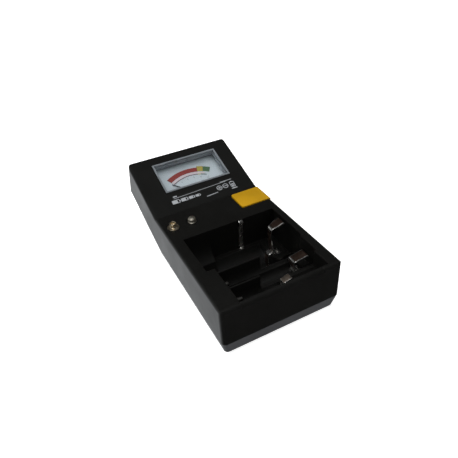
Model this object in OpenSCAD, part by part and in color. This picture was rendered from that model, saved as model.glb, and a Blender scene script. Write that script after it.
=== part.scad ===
// Analogue battery tester: bent slab case, stepped battery trough,
// moving-coil meter, push-to-test key and leaf spring contacts.
// Millimetres, +Z up, +X to the right, front face towards -Y.
// The parts are drawn with the front face at y = 0; at() then puts the
// origin on the table, 50 mm behind the middle of the front face.

/* [Case] */
// Overall width of the case
body_w = 76; // [76:1:84]
// Height of the battery deck above the table
deck_h = 34; // [34:0.25:35]
// Distance from the front face back to the crease
crease_y = 93.6; // [93.6:0.2:96]
// Length of the sloping meter face
face_l = 53.5; // [53.5:0.5:58]
// Tilt of the meter section
tilt = 19; // [17:0.5:20]
// Wall thickness of both mouldings
wall = 2.2; // [2:0.1:2.4]
// Height of the chamfered lower shell
skirt_h = 8.9; // [8.6:0.1:9]
// Inward lean of the lower shell
skirt_in = 2; // [1.5:0.1:2.2]
// Radius of the two front upright corners
corner_r = 2.75; // [2.5:0.25:4]
// Radius of the two rear upright corners
rear_r = 5; // [4:0.25:5.25]
// Radius of the top edges
edge_r = 1.9; // [1:0.1:2]

/* [Battery lanes] */
// Radius of the large cell saddle
d_r = 16.6; // [16.4:0.1:16.8]
// Radius of the recess for the next size down
c_r = 13.4; // [13.2:0.1:13.5]
// Radius of the pen cell lane
aa_r = 7.4; // [7.3:0.05:7.5]
// Radius of the slim pen cell recess
aaa_r = 5.4; // [5.3:0.05:5.5]
// Radius of the short cell lane
n_r = 6.1; // [6.05:0.05:6.15]
// Thickness of the moulded lane walls
lane_wall = 1.8; // [1.4:0.1:1.8]
// Half width of the finger notch in the front wall
notch_hw = 26; // [22:0.5:26]

/* [Meter] */
// Depth of the meter housing below the face
meter_d = 21; // [20:0.5:23]
// Length of the pointer from its pivot
pointer_l = 20.5; // [18:0.5:21]
// Rest angle of the pointer left of centre
pointer_rest = 46; // [44:1:48]

/* [Key] */
// Height of the key above the deck
key_rise = 0.6; // [0.3:0.1:1]
// Gap around the key
key_gap = 0.35; // [0.25:0.05:0.5]

/* [Contacts] */
// Thickness of the leaf spring strip
leaf_t = 0.5; // [0.4:0.05:0.6]
// Spacing of the two snap contacts
snap_pitch = 12.8; // [12.6:0.1:13]

/* [Hidden] */
$fn = 48;

// Case. Depths are measured square to the sloping face.
half_w = body_w/2;
top_depth = 25.6;                // face to the joint between the mouldings
rear_lean = 1.6;                 // rear wall offset at the joint
base_depth = top_depth + skirt_h;
in_deck = deck_h - 1;            // level where parts below merge into the deck

// Cell lanes: axis y and z, then the x of the left (x0) and right (x1) ends
d_y = 48.2;
d_z = 28;
c_y = 44.6;
c_z = 17.5;
aa_y = 23.2;
aa_z = 26.5;
aaa_z = 21.5;
n_y = 8.8;
n_z = 27;
d_x0 = -30.5;
d_x1 = 32.6;
c_x1 = 21;
shelf_x = -13.6;                 // right end of the shelf in the large lane
small_x0 = -25.5;
aa_x1 = 31.6;
n_x1 = 30.2;

// Meter, in the face frame: x across, u up the slope, w out of the face
win_x0 = -22.7;
win_x1 = 25.8;
win_u0 = 17.9;
win_u1 = 45;
pivot_x = 0.5;
pivot_u = 13.5;
pivot_r = 0.5;
dial_w = -6.4;
bridge_w = -8.4;
meter_floor = -meter_d + 1.2;    // inside floor of the housing
terminal_x = [-15, 16];

// Key, switch and circuit board
key_x = 16.2;
key_y0 = 75.2;
key_y1 = 92.6;
key_side = 7;                    // drop of the key opening down the right side
stem_z = deck_h - 4.5;
switch_x = 27;
switch_y = 83.8;
plunger_r = 1.8;
board_z = 17.7;
board_top = 19.3;

// Socket centre; the stud lies one pitch to its right
snap_x = -30.6;
snap_y = 80;

// Front screws: x, y, top of boss, top of bore
front_screws = [[-30.7, 7.8, deck_h - 1, 20], [26, n_y, 20, 17.5]];

// Leaf springs: [y0, y1], [x, z] path from the foot up, foot [x, length],
// rivet [x, y], pad under the foot [x0, x1, y0, y1, z0, z1]
d_leaf = [[46.2, 51],
  [[22.6, 13.4], [21.3, 19.5], [20.8, 25], [20.6, 30.2], [20.8, 31.4], [21.5, 32.3], [29.4, 34.8]],
  [22.2, 5.4], [26.2, 48.6], [22, 28, 45.4, 51.2, 8, 11.8]];
c_leaf = [[41.6, 46],
  [[16.6, 6.2], [15.7, 10], [15.5, 13.4], [15.5, 16.4], [15.75, 17.4], [16.4, 18.1], [19.4, 18.9]],
  [15.6, 4.7], [19.1, 43.8], [15, 20.4, 41.2, 46.4, 2, 4.8]];
aa_leaf = [[19.2, 25.4],
  [[21.2, 18.9], [20.1, 22.2], [19.5, 24.4], [19.35, 25.8], [19.6, 26.6], [20.3, 27.1],
    [28.6, 28.5]],
  [20.6, 4.8], [24.2, 23.2], [20.4, 25.6, 18.9, 25.7, 12, 17.3]];
n_leaf = [[6.7, 10.9],
  [[5, 23], [4.3, 25.6], [4.05, 27.4], [4.15, 28.6], [4.5, 29.3], [5.2, 29.8], [9.6, 31.2]],
  [4.4, 5], [8.2, 8.8], [4, 10, 6.4, 11.2, 18, 21.5]];
leaves = [d_leaf, c_leaf, aa_leaf, n_leaf];
foot_t = 0.6;

// ---- Frames and shared shapes ----

// [y, z] of the point u up the slope and w out of the face
function face_point(u, w) =
  [crease_y + u*cos(tilt) - w*sin(tilt), deck_h + u*sin(tilt) + w*cos(tilt)];
// [y, z] where the plane w out of the face reaches height z
function face_at(z, w) = face_point((z - deck_h - w*cos(tilt))/sin(tilt), w);

// the frame's origin lies in the resting face
module at() { translate([0, -50, 0]) children(); }
module on_face() { translate([0, crease_y, deck_h]) rotate([tilt, 0, 0]) children(); }
module at_pivot() { on_face() translate([pivot_x, pivot_u, 0]) children(); }
module at_terminals() { for (x = terminal_x) translate([x, 9.5, 0]) children(); }
// screw places, with z = 0 on the outside of the base
module at_rear_screws() {
  on_face() for (side = [-1, 1]) translate([side*30.6, 46, -base_depth]) children();
}
module at_screws() {
  for (place = front_screws) translate([place[0], place[1], 0]) children();
  at_rear_screws() children();
}

module box(x0, x1, y0, y1, z0, z1) {
  translate([x0, y0, z0]) cube([x1 - x0, y1 - y0, z1 - z0]);
}
// [y, z] outline swept along X
module side_sweep(x0, x1, outline) {
  translate([x0, 0, 0]) rotate([90, 0, 90]) linear_extrude(x1 - x0) polygon(outline);
}

// outline of a bent strip along a path, with mitred bends
function segment_normal(path, i) =
  let(d = (path[i + 1] - path[i])/norm(path[i + 1] - path[i])) [-d[1], d[0]];
function bend_normal(path, i) =
  let(before = segment_normal(path, max(i - 1, 0)),
      after = segment_normal(path, min(i, len(path) - 2)),
      both = before + after)
  both*2/(both*both);
function ribbon(path, t) = concat(
  [for (i = [0:len(path) - 1]) path[i] + bend_normal(path, i)*t/2],
  [for (i = [len(path) - 1:-1:0]) path[i] - bend_normal(path, i)*t/2]);

// ---- Lower shell ----

// pair of thin discs touching x = -half and x = half
module corner_discs(half, y, z, r) {
  for (side = [-1, 1])
    translate([side*(half - r), y, z]) cylinder(h = 0.05, r = r, $fn = 32);
}
// front and rear solids, each cut at the mitre plane under the crease
module bottom_block() {
  joint = face_at(skirt_h, -top_depth);
  mitre = tan(tilt/2);
  low = [joint[0] + (skirt_h + 5)*mitre, -5];
  in_w = half_w - skirt_in;
  rear_y = face_l + rear_lean;
  intersection() {
    hull() {
      corner_discs(half_w, corner_r, skirt_h - 0.1, corner_r);
      corner_discs(in_w, skirt_in + 2.6, 0, 2.6);
      box(-half_w, half_w, 130, 130.05, skirt_h - 0.1, skirt_h - 0.05);
      box(-in_w, in_w, 130, 130.05, 0, 0.05);
    }
    side_sweep(-half_w - 1, half_w + 1,
      [[-5, -5], [-5, 20], [joint[0] - (20 - skirt_h)*mitre, 20], low]);
  }
  intersection() {
    on_face() hull() {
      corner_discs(half_w, rear_y - rear_r, -top_depth - 0.1, rear_r);
      corner_discs(in_w, rear_y - skirt_in - 3.6, -base_depth, 3.6);
      box(-half_w, half_w, -40, -39.95, -top_depth - 0.1, -top_depth - 0.05);
      box(-in_w, in_w, -40, -39.95, -base_depth, -base_depth + 0.05);
    }
    side_sweep(-half_w - 1, half_w + 1,
      [[joint[0] - (40 - skirt_h)*mitre, 40], [200, 40], [200, -5], low]);
  }
}
module bottom_cavity() {
  side_sweep(-half_w + 4, half_w - 4, [[4.4, 2.2], [4.4, 20], [60, 60],
    face_point(face_l - 2.9, -top_depth + 10), face_point(face_l - 2.9, -base_depth + 2.2),
    face_at(2.2, -base_depth + 2.2)]);
}
module bottom_shell() {
  color("#2b2c2e") difference() {
    union() {
      difference() {
        bottom_block();
        bottom_cavity();
      }
      at_screws() translate([0, 0, 1]) cylinder(h = 5.5, r = 4.2);
      // ribs that carry the circuit board
      for (x = [-24, 10]) box(x, x + 4, 68.6, 88, 2, board_z);
    }
    // counterbores and clearance holes
    at_screws() {
      translate([0, 0, -1]) cylinder(h = 5.5, r = 3.1);
      translate([0, 0, -1]) cylinder(h = 12, r = 1.6);
    }
  }
}

// ---- Upper shell ----

// long bar with its two top edges rounded, running along Y
module rounded_bar(y0, y1, top, r) {
  box(-half_w + r, half_w - r, y0, y1, -60, top);
  box(-half_w, half_w, y0, y1, -60, top - r);
  for (side = [-1, 1]) translate([side*(half_w - r), y1, top - r])
    rotate([90, 0, 0]) cylinder(h = y1 - y0, r = r);
}
// tall block from y = 0 back, with its two front upright corners rounded
module rounded_nose(r) {
  box(-half_w, half_w, r, 260, -80, 90);
  box(-half_w + r, half_w - r, 0, 260, -80, 90);
  for (side = [-1, 1])
    translate([side*(half_w - r), r, -80]) cylinder(h = 170, r = r);
}
module top_envelope() {
  rear_top = face_point(face_l, 0);
  // insets of the rounded edges at 30 degree steps
  far = edge_r*0.5;
  near = edge_r*0.134;
  intersection() {
    side_sweep(-half_w - 1, half_w + 1, [
      [0, skirt_h], [0, deck_h - edge_r], [near, deck_h - far],
      [far, deck_h - near], [edge_r, deck_h], [edge_r + 8, deck_h + 2],
      face_at(deck_h + 2, 2), face_point(face_l - edge_r - 8, 2),
      face_point(face_l - edge_r, 0), face_point(face_l - far, -near),
      face_point(face_l - near + 0.03, -far), face_point(face_l + 0.1, -edge_r),
      face_point(face_l + rear_lean, -top_depth), face_at(skirt_h, -top_depth)]);
    rounded_nose(corner_r);
    translate([0, rear_top[0], rear_top[1]])
      rotate([tilt + atan(rear_lean/top_depth), 0, 0])
        mirror([0, 1, 0]) rounded_nose(rear_r);
    union() {
      rounded_bar(-20, 150, deck_h, edge_r);
      on_face() rounded_bar(-120, 90, 0, edge_r + 0.15);
    }
  }
}
module top_cavity() {
  side_sweep(-half_w + wall, half_w - wall, [
    [wall, skirt_h - 2], [wall, deck_h - wall], face_at(deck_h - wall, -wall),
    face_point(face_l - wall, -wall),
    face_point(face_l + rear_lean - wall, -top_depth - 2),
    face_at(skirt_h - 2, -top_depth - 2)]);
}

// round-bottomed trough along X, open upwards
module lane(x0, x1, y, z, r, top) {
  translate([x0, y, z]) rotate([0, 90, 0]) cylinder(h = x1 - x0, r = r);
  box(x0, x1, y - r, y + r, z, top);
}
// all lanes; grow enlarges them to form the moulded walls
module lanes(grow, top) {
  // x0, x1, axis y, axis z, radius, top
  for (row = [
    [small_x0, n_x1, n_y, n_z, n_r, top],
    [small_x0, aa_x1, aa_y, aa_z, aa_r, top],
    [-19, 26, aa_y - 1, aaa_z, aaa_r, aa_z],
    [d_x0, d_x1, d_y, d_z, d_r, top],
    [d_x0, c_x1, c_y, c_z, c_r, d_z],
    [shelf_x, c_x1, c_y + 4.9, c_z, c_r, d_z - 3]
  ]) lane(row[0] - grow, row[1] + grow, row[2], row[3], row[4] + grow, row[5]);
  box(shelf_x - grow, d_x1 + grow, d_y, d_y + d_r + grow, 11.6 - grow, top);
}
// shelf that carries the left end of the large cell
module cell_shelf() {
  intersection() {
    box(d_x0 - 1, shelf_x, c_y + sqrt(pow(c_r, 2) - pow(2.5, 2)) - 0.2, d_y + 20, 4, 30);
    difference() {
      box(d_x0 - 1, shelf_x, 50, 70, 4, 30);
      lane(d_x0 - 2, shelf_x + 1, d_y, d_z, d_r, 40);
    }
  }
}
module lane_cuts() {
  difference() {
    lanes(0, deck_h + 10);
    // raised pads for the spring feet
    for (leaf = leaves) {
      pad = leaf[4];
      box(pad[0], pad[1], pad[2], pad[3], pad[4], pad[5]);
    }
    cell_shelf();
  }
  // ridge tops stand a little below the deck
  box(small_x0, n_x1, 2.7, d_y - 17, deck_h - 1.6, deck_h + 5);
  box(small_x0, aa_x1, aa_y, d_y - 12, deck_h - 3.4, deck_h + 5);
  // the ridges stop short of the springs
  box(3, aa_x1, 29.4, 33, 18.6, deck_h + 5);
  box(-6, n_x1, 14, 17, 23.5, deck_h + 5);
}
// well rounded top of the front wall between its corner blocks
module front_notch() {
  lip_r = 2.9;
  lip_z = 30.9;
  side_sweep(-notch_hw, notch_hw, concat([[-1, lip_z]],
    [for (a = [0:9:90]) [lip_r - lip_r*cos(a), lip_z + lip_r*sin(a)]],
    [[lip_r, 50], [-1, 50]]));
}
// key opening, wrapping over the right-hand edge
module key_opening() {
  box(key_x, half_w + 1, key_y0, key_y1 + 0.4, deck_h - wall - 0.2, deck_h + 6);
  box(half_w - wall - 0.5, half_w + 1, key_y0, key_y1 + 0.4, deck_h - key_side, deck_h + 6);
}
module snap_holes() {
  recess_r = [4.3, 3.9];
  for (i = [0, 1]) translate([snap_x + i*snap_pitch, snap_y, deck_h]) {
    translate([0, 0, -5]) cylinder(h = 10, r = 1.55);
    translate([0, 0, -0.5]) cylinder(h = 5, r = recess_r[i]);
  }
}
module screw_boss(top) { translate([0, 0, 6.5]) cylinder(h = top - 6.5, r = 3.2); }
module screw_bore(top) { translate([0, 0, 6]) cylinder(h = top - 6, r = 1.34); }

module top_shell() {
  color("#151617") difference() {
    union() {
      difference() {
        top_envelope();
        top_cavity();
      }
      // lane walls, kept inside the case
      intersection() {
        lanes(lane_wall, in_deck);
        box(-half_w + 1, half_w - 1, 1, 75, 2.3, in_deck);
      }
      // web that closes the low end of the ridge between the large and pen lanes
      box(c_x1, aa_x1 + 1.6, aa_y + 3.8, d_y - 12.2, 16.8, 22);
      for (place = front_screws) translate([place[0], place[1], 0]) screw_boss(place[2]);
      at_rear_screws() screw_boss(base_depth - 1);
      // key guide wall under the deck
      box(key_x - 1.2, key_x, key_y0 + 1, key_y1 - 1, deck_h - 8, in_deck);
    }
    lane_cuts();
    front_notch();
    window_box(0, -5, 5);
    key_opening();
    snap_holes();
    for (place = front_screws) translate([place[0], place[1], 0]) screw_bore(place[3]);
    at_rear_screws() screw_bore(18);
  }
}

// ---- Meter ----

// box over the meter window, shrunk by inset, from w0 to w1
module window_box(inset, w0, w1) {
  on_face()
    box(win_x0 + inset, win_x1 - inset, win_u0 + inset, win_u1 - inset, w0, w1);
}
module meter_bezel() {
  color("#8d9298") difference() {
    union() {
      window_box(0.1, -2.4, 0.5);
      on_face()
        box(win_x0 - 1.4, win_x1 + 1.2, win_u0 - 1.4, win_u1 + 1.4, -3.2, -wall);
    }
    window_box(1.2, -1.2, 2);
    window_box(1.8, -5, 2);
  }
}
module meter_cover() {
  color("#dfe8ee") window_box(1.25, -1.2, 0.2);
}
module meter_housing() {
  color("#aeb4ba") on_face() difference() {
    box(win_x0 - 1.3, win_x1 + 1.2, 5.2, win_u1 + 1.3, -meter_d, -3.2);
    box(win_x0 + 0.2, win_x1 - 0.2, 6.7, win_u1 - 0.1, meter_floor, -1);
    at_terminals() translate([0, 0, -meter_d - 1]) cylinder(h = 4, r = 1.3);
  }
}
module dial_plate() {
  color("#dfe9ef") on_face()
    box(win_x0 + 0.3, win_x1 - 0.3, 17.3, win_u1 - 0.2, dial_w, dial_w + 0.4);
}
module yoke_ring() {
  color("#7d8287") at_pivot() translate([0, 0, meter_floor]) difference() {
    cylinder(h = 9.8, r = 10.2);
    translate([0, 0, -1]) cylinder(h = 12, r = 8.4);
    // opening on the low side
    translate([-20, -20, -1]) cube([40, 13.3, 12]);
  }
}
module magnet_core() {
  color("#54585c") at_pivot() translate([0, 0, meter_floor + 2]) union() {
    cylinder(h = 7, r = 4.6);
    for (x = [-8.3, 4]) translate([x, -1.2, 2]) cube([4.3, 2.4, 3]);
  }
}
module upper_bridge() {
  color("#c9a44c") at_pivot() difference() {
    union() {
      translate([-13, -2.4, bridge_w]) cube([26, 4.8, 0.8]);
      for (side = [-1, 1]) translate([side*11.6 - 1, -1.6, meter_floor])
        cube([2, 3.2, bridge_w - meter_floor]);
    }
    translate([0, 0, -9]) cylinder(h = 3, r = 0.55);
  }
}
module moving_coil() {
  color("#b4652c") at_pivot() rotate([0, 0, pointer_rest]) difference() {
    translate([-2.2, -6.3, meter_floor + 1]) cube([4.4, 12.6, 9.8]);
    translate([-3, -5, meter_floor + 1.6]) cube([6, 10, 8.6]);
    translate([0, 0, -meter_d]) cylinder(h = 22, r = pivot_r);
  }
}
// upper and lower stubs, either side of the coil
module pivot_shaft() {
  upper_w = meter_floor + 10.2;
  color("#c8ccd0") at_pivot() {
    translate([0, 0, upper_w]) cylinder(h = -4.4 - upper_w, r = pivot_r);
    translate([0, 0, meter_floor + 0.2]) cylinder(h = 1.4, r = pivot_r);
  }
}
module pointer() {
  color("#c22a22") at_pivot() translate([0, 0, -5.4]) rotate([0, 0, pointer_rest])
    difference() {
      union() {
        cylinder(h = 0.7, r = 1.8);
        translate([-0.3, 0, 0.15]) cube([0.6, pointer_l, 0.35]);
        // tail
        translate([-0.55, -4.6, 0.1]) cube([1.1, 4.4, 0.5]);
      }
      translate([0, 0, -1]) cylinder(h = 3, r = pivot_r);
    }
}
module meter_terminals() {
  color("#c9a44c") on_face() at_terminals() {
    translate([0, 0, -meter_d - 3]) cylinder(h = 4.4, r = 1.25);
    translate([0, 0, -meter_d - 3.6]) cylinder(h = 0.6, r = 2.4);
    translate([0, 0, meter_floor]) cylinder(h = 0.7, r = 2.1);
  }
}

// ---- Key, switch and circuit board ----

module test_button() {
  left = key_x + key_gap;
  front = key_y0 + key_gap;
  back = key_y1 - 0.1;
  bottom = deck_h - wall + 0.2;
  top = deck_h + key_rise;
  round_r = 1.2;      // right-hand top edge
  plan_r = 1.6;       // left corners
  color("#f2a714") difference() {
    union() {
      box(left, half_w - round_r, front, back, bottom, top);
      box(half_w - 3, half_w, front, back, bottom, top - round_r);
      translate([half_w - round_r, back, top - round_r])
        rotate([90, 0, 0]) cylinder(h = back - front, r = round_r);
      box(half_w - wall + 0.1, half_w, front, back, deck_h - key_side + 2.2, deck_h);
      // skirt below the deck
      box(key_x + 3, half_w - 3.4, key_y0 + 1.8, key_y1 - 2, deck_h - 4.4, deck_h - 1.5);
    }
    box(key_x + 4.2, half_w - 4.6, key_y0 + 3, key_y1 - 3.2, deck_h - 6, deck_h - wall + 1);
    // rounded front and back left corners: cut y0, cut y1, arc centre y
    for (cut = [[front - 1, front + plan_r, front + plan_r],
                [back - plan_r, back + 1, back - plan_r]]) difference() {
      box(left - 1, left + plan_r, cut[0], cut[1], 25, 45);
      translate([left + plan_r, cut[2], 20]) cylinder(h = 30, r = plan_r);
    }
  }
  // stem
  color("#f2a714") box(switch_x - plunger_r, switch_x + plunger_r,
    switch_y - plunger_r, switch_y + plunger_r, stem_z, deck_h - wall + 1.1);
}
module switch_body() {
  half = 4.4;
  color("#26282b") difference() {
    box(switch_x - half, switch_x + half, switch_y - half, switch_y + half, board_top, 26.2);
    translate([switch_x, switch_y, 21]) cylinder(h = 8, r = plunger_r + 0.05);
  }
}
module switch_plunger() {
  bottom = 23.4;
  color("#e6e3da") translate([switch_x, switch_y, bottom])
    cylinder(h = stem_z - bottom, r = plunger_r);
}
module circuit_board() {
  color("#2f6b3c") difference() {
    box(-34, 34, 68.4, 91.6, board_z, board_top);
    for (x = [-14.6, 14.6]) translate([x, 70.5, 15]) cylinder(h = 8, r = 1.2);
  }
}
// row of four, lying along Y, with a leg down at each end
module load_resistors() {
  wire_r = 0.35;
  color("#d8c39a") for (i = [0:3]) translate([-6 + i*5.4, 88, board_top + 2])
    rotate([90, 0, 0]) {
      cylinder(h = 8, r = 1.5);
      translate([0, 0, -1.6]) cylinder(h = 11.2, r = wire_r);
      for (z = [-1.6, 9.2]) translate([-wire_r, -2, z]) cube([2*wire_r, 2, 0.4]);
    }
}

// ---- Contacts ----

// flange in the deck recess, with a shank and head below
module snap_base(flange_h, flange_r) {
  translate([0, 0, -0.5]) cylinder(h = flange_h, r = flange_r);
  translate([0, 0, -3.4]) cylinder(h = 3.4, r = 1.5);
  translate([0, 0, -3.4]) cylinder(h = 1.15, r = 2.6);
}
module snap_stud() {
  // radius, height
  profile = [[0, -0.2], [2.1, -0.2], [2.05, 0.8], [2.45, 1.3],
    [2.75, 1.9], [2.6, 2.5], [2.1, 2.9], [0, 3]];
  color("#c9a24a") translate([snap_x + snap_pitch, snap_y, deck_h]) {
    snap_base(0.5, 3.7);
    rotate_extrude() polygon(profile);
  }
}
module snap_socket() {
  // radius, height
  profile = [[0, -0.2], [3.3, -0.2], [3.1, 1], [3.5, 2.3], [4, 3.1],
    [3.5, 3.1], [3, 2.3], [2.9, 0.8], [0, 0.8]];
  color("#c9a24a") translate([snap_x, snap_y, deck_h]) {
    snap_base(0.8, 4.1);
    difference() {
      rotate_extrude() polygon(profile);
      for (a = [0:60:120]) rotate([0, 0, a]) translate([-6, -0.3, 1]) cube([12, 0.6, 4]);
    }
  }
}

// plate at the left end of a lane, [y0, y1] by [z0, z1], with a tapered tip
module end_contact(x, ys, zs, tip_y, tip_z, tip_l, r1, r2) {
  color("#cfd2d4") {
    box(x, x + 0.5, ys[0], ys[1], zs[0], zs[1]);
    translate([x + 0.4, tip_y, tip_z]) rotate([0, 90, 0]) cylinder(h = tip_l, r1 = r1, r2 = r2);
  }
}
module contact_d() { end_contact(d_x0, [39, 50], [6, 27], 44.6, 20, 0.5, 3.2, 2); }
module contact_aa() { end_contact(small_x0, [21, 25.4], [21, 31], aa_y, 27.6, 3.3, 1.9, 1.3); }
module contact_n() { end_contact(small_x0, [6.8, 10.8], [22, 31], n_y, 28.4, 4.2, 1.7, 1.2); }

module leaf_strip(leaf) {
  ys = leaf[0];
  translate([0, ys[1], 0]) rotate([90, 0, 0])
    linear_extrude(ys[1] - ys[0]) polygon(ribbon(leaf[1], leaf_t));
}
module leaf_d() { color("#b98a5e") leaf_strip(d_leaf); }
module leaf_c() { color("#d6d8da") leaf_strip(c_leaf); }
module leaf_aa() { color("#b98a5e") leaf_strip(aa_leaf); }
module leaf_n() { color("#d6d8da") leaf_strip(n_leaf); }

// foot plate and block, hollowed to clear the root of the leaf
module leaf_foot(leaf) {
  ys = leaf[0];
  root = leaf[1][0];
  foot = leaf[2];
  z = leaf[4][5];
  difference() {
    union() {
      box(foot[0], foot[0] + foot[1], ys[0], ys[1], z, z + foot_t);
      box(root[0] - 0.4, root[0] + 1.3, ys[0], ys[1], z, root[1] + 0.1);
    }
    translate([root[0], ys[1] + 1, root[1] + 0.2])
      rotate([90, 0, 0]) cylinder(h = 11, r = leaf_t/2 + 0.3);
  }
}
module leaf_feet() {
  color("#c9a24a") for (leaf = leaves) leaf_foot(leaf);
}
module contact_rivets() {
  color("#dcdee0") for (leaf = leaves)
    translate([leaf[3][0], leaf[3][1], leaf[4][5] + foot_t])
      cylinder(h = 0.9, r1 = 1.1, r2 = 0.7);
}
module coin_contact() {
  // y, z
  path = [[61.9, 11.85], [64, 11.85], [64.5, 12.4], [64.5, 29],
    [63, 30.6], [63.4, 32.4], [64.5, 33.6]];
  color("#dcdee0") side_sweep(7.2, 10.2, ribbon(path, 0.4));
}

// ---- Wires and screws ----

// straight lead from near a meter terminal forward to the circuit board
module wire(x) {
  rear = [107.4, 13.9];
  front = [91, 17.04];
  translate([x, rear[0], rear[1]])
    rotate([90 - atan2(front[1] - rear[1], rear[0] - front[0]), 0, 0])
      cylinder(h = norm(front - rear), r = 0.65);
}
module lead_wires() {
  color("#a3201c") wire(terminal_x[0]);
  color("#1d1f22") wire(terminal_x[1]);
}
// cross-slotted, head down
module screw() {
  difference() {
    union() {
      translate([0, 0, -2]) cylinder(h = 2, r = 2.8);
      cylinder(h = 9.5, r = 1.3);
    }
    for (a = [0, 90]) rotate([0, 0, a]) translate([-1.7, -0.35, -2.1]) cube([3.4, 0.7, 1.1]);
  }
}
module case_screws() {
  color("#9a9da1") at_screws() translate([0, 0, 4.5]) screw();
}

at() bottom_shell();
at() top_shell();
at() meter_bezel();
at() meter_cover();
at() meter_housing();
at() dial_plate();
at() yoke_ring();
at() magnet_core();
at() upper_bridge();
at() moving_coil();
at() pivot_shaft();
at() pointer();
at() meter_terminals();
at() test_button();
at() switch_body();
at() switch_plunger();
at() circuit_board();
at() load_resistors();
at() snap_stud();
at() snap_socket();
at() contact_d();
at() contact_aa();
at() contact_n();
at() leaf_feet();
at() leaf_d();
at() leaf_c();
at() leaf_aa();
at() leaf_n();
at() coin_contact();
at() contact_rivets();
at() lead_wires();
at() case_screws();
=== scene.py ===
import bpy, bmesh, math
from mathutils import Vector, Matrix


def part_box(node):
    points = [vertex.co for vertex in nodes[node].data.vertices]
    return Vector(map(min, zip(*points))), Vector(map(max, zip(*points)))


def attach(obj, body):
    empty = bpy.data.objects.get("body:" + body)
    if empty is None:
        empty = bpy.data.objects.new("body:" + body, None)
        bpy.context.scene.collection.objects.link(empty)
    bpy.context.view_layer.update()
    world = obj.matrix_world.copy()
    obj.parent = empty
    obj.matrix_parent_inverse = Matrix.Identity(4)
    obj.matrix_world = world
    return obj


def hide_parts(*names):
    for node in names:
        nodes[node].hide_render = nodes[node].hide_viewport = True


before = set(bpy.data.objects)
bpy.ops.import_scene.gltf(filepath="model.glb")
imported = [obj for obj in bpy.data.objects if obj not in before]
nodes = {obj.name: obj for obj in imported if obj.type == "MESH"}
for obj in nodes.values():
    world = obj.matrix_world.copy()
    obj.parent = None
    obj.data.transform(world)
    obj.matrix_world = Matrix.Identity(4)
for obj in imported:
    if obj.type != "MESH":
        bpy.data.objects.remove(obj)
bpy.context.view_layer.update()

MM = 0.001
scene = bpy.context.scene

# ---------------------------------------------------------------- frame numbers
TILT = math.radians(19)
CREASE = (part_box("test_button")[1][1] / MM + 1.1)      # the key stops 1.1 mm short of the crease
DECK = 34.0
CT, ST = math.cos(TILT), math.sin(TILT)


def face(x, u, w):
    """A point of the tilted meter frame (x across, u up the face, w out of it), in metres."""
    return Vector((x, CREASE + u * CT - w * ST, DECK + u * ST + w * CT)) * MM


def deck(x, y, z):
    """A point measured from the foot of the front face, which lies 50 mm in front of the frame's origin."""
    return Vector((x, y - 50.0, z)) * MM


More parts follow.
